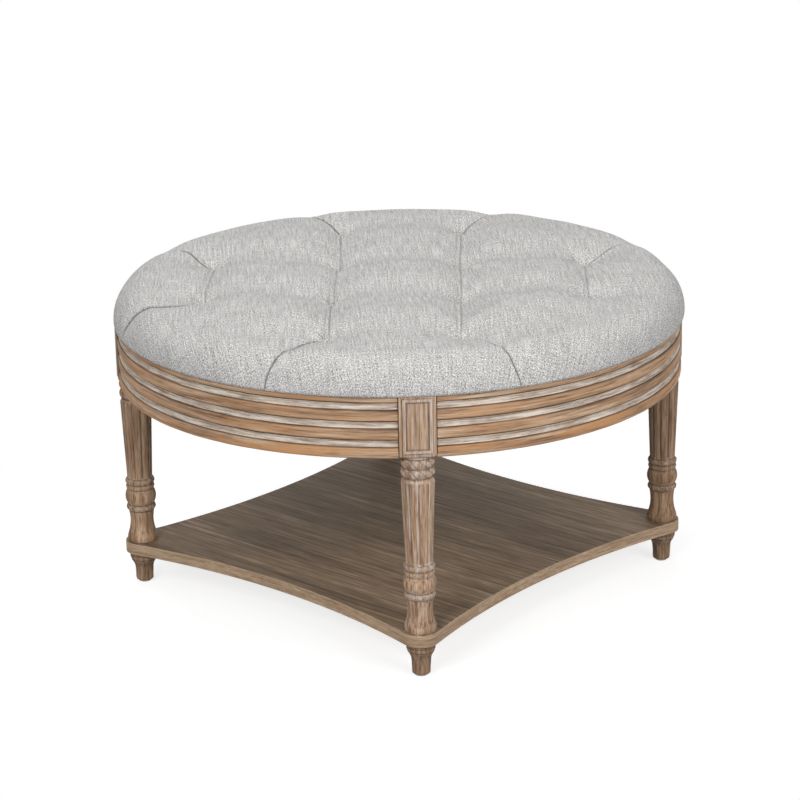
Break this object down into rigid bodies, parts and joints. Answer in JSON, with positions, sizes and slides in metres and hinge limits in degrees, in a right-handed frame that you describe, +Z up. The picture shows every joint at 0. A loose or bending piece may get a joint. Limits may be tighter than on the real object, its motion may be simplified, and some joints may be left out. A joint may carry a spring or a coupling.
{
  "type": "ottoman coffee table",
  "caption": "Round tufted ottoman coffee table with a reeded round apron, turned legs and a lower shelf with hollow sides.",
  "frame": {"origin": "on the floor under the middle of the round top", "axes": "+Z up; the legs stand on the X and Y axes, and -Y points to the front leg"},
  "size_m": [0.8, 0.8, 0.47],
  "materials": {
    "upholstery": "heathered linen weave",
    "foam": "open-cell foam",
    "plywood": "unfinished plywood",
    "apron_wood": "weathered brown with lime wash in the hollows",
    "leg_wood": "weathered brown with lime wash in the carving",
    "shelf_veneer": "grey-brown veneer, satin",
    "edge_band": "limed, satin",
    "hardwood": "unfinished hardwood",
    "steel": "zinc plated",
    "glide_plastic": "pale nylon",
    "twine": "waxed twine",
    "dust_cloth": "non-woven black cloth"
  },
  "bodies": {
    "root": {"apron_rail_back_left": "apron_wood", "apron_rail_back_right": "apron_wood", "apron_rail_front_left": "apron_wood", "apron_rail_front_right": "apron_wood", "base_foam": "foam", "brace_bolts": "steel", "brace_nuts": "steel", "corner_brace_back": "hardwood", "corner_brace_front": "hardwood", "corner_brace_left": "hardwood", "corner_brace_right": "hardwood", "deck_screws": "steel", "dust_cover": "dust_cloth", "floor_glides": "glide_plastic", "foot_back": "leg_wood", "foot_front": "leg_wood", "foot_left": "leg_wood", "foot_right": "leg_wood", "leg_back": "leg_wood", "leg_front": "leg_wood", "leg_left": "leg_wood", "leg_right": "leg_wood", "rail_tenons": "hardwood", "seat_deck": "plywood", "shelf_edge_back_left": "edge_band", "shelf_edge_back_right": "edge_band", "shelf_edge_front_left": "edge_band", "shelf_edge_front_right": "edge_band", "shelf_panel": "shelf_veneer", "shelf_studs": "steel", "tuft_twine": "twine", "tufted_cover": "upholstery", "twine_toggles": "hardwood"}
  },
  "joints": []
}
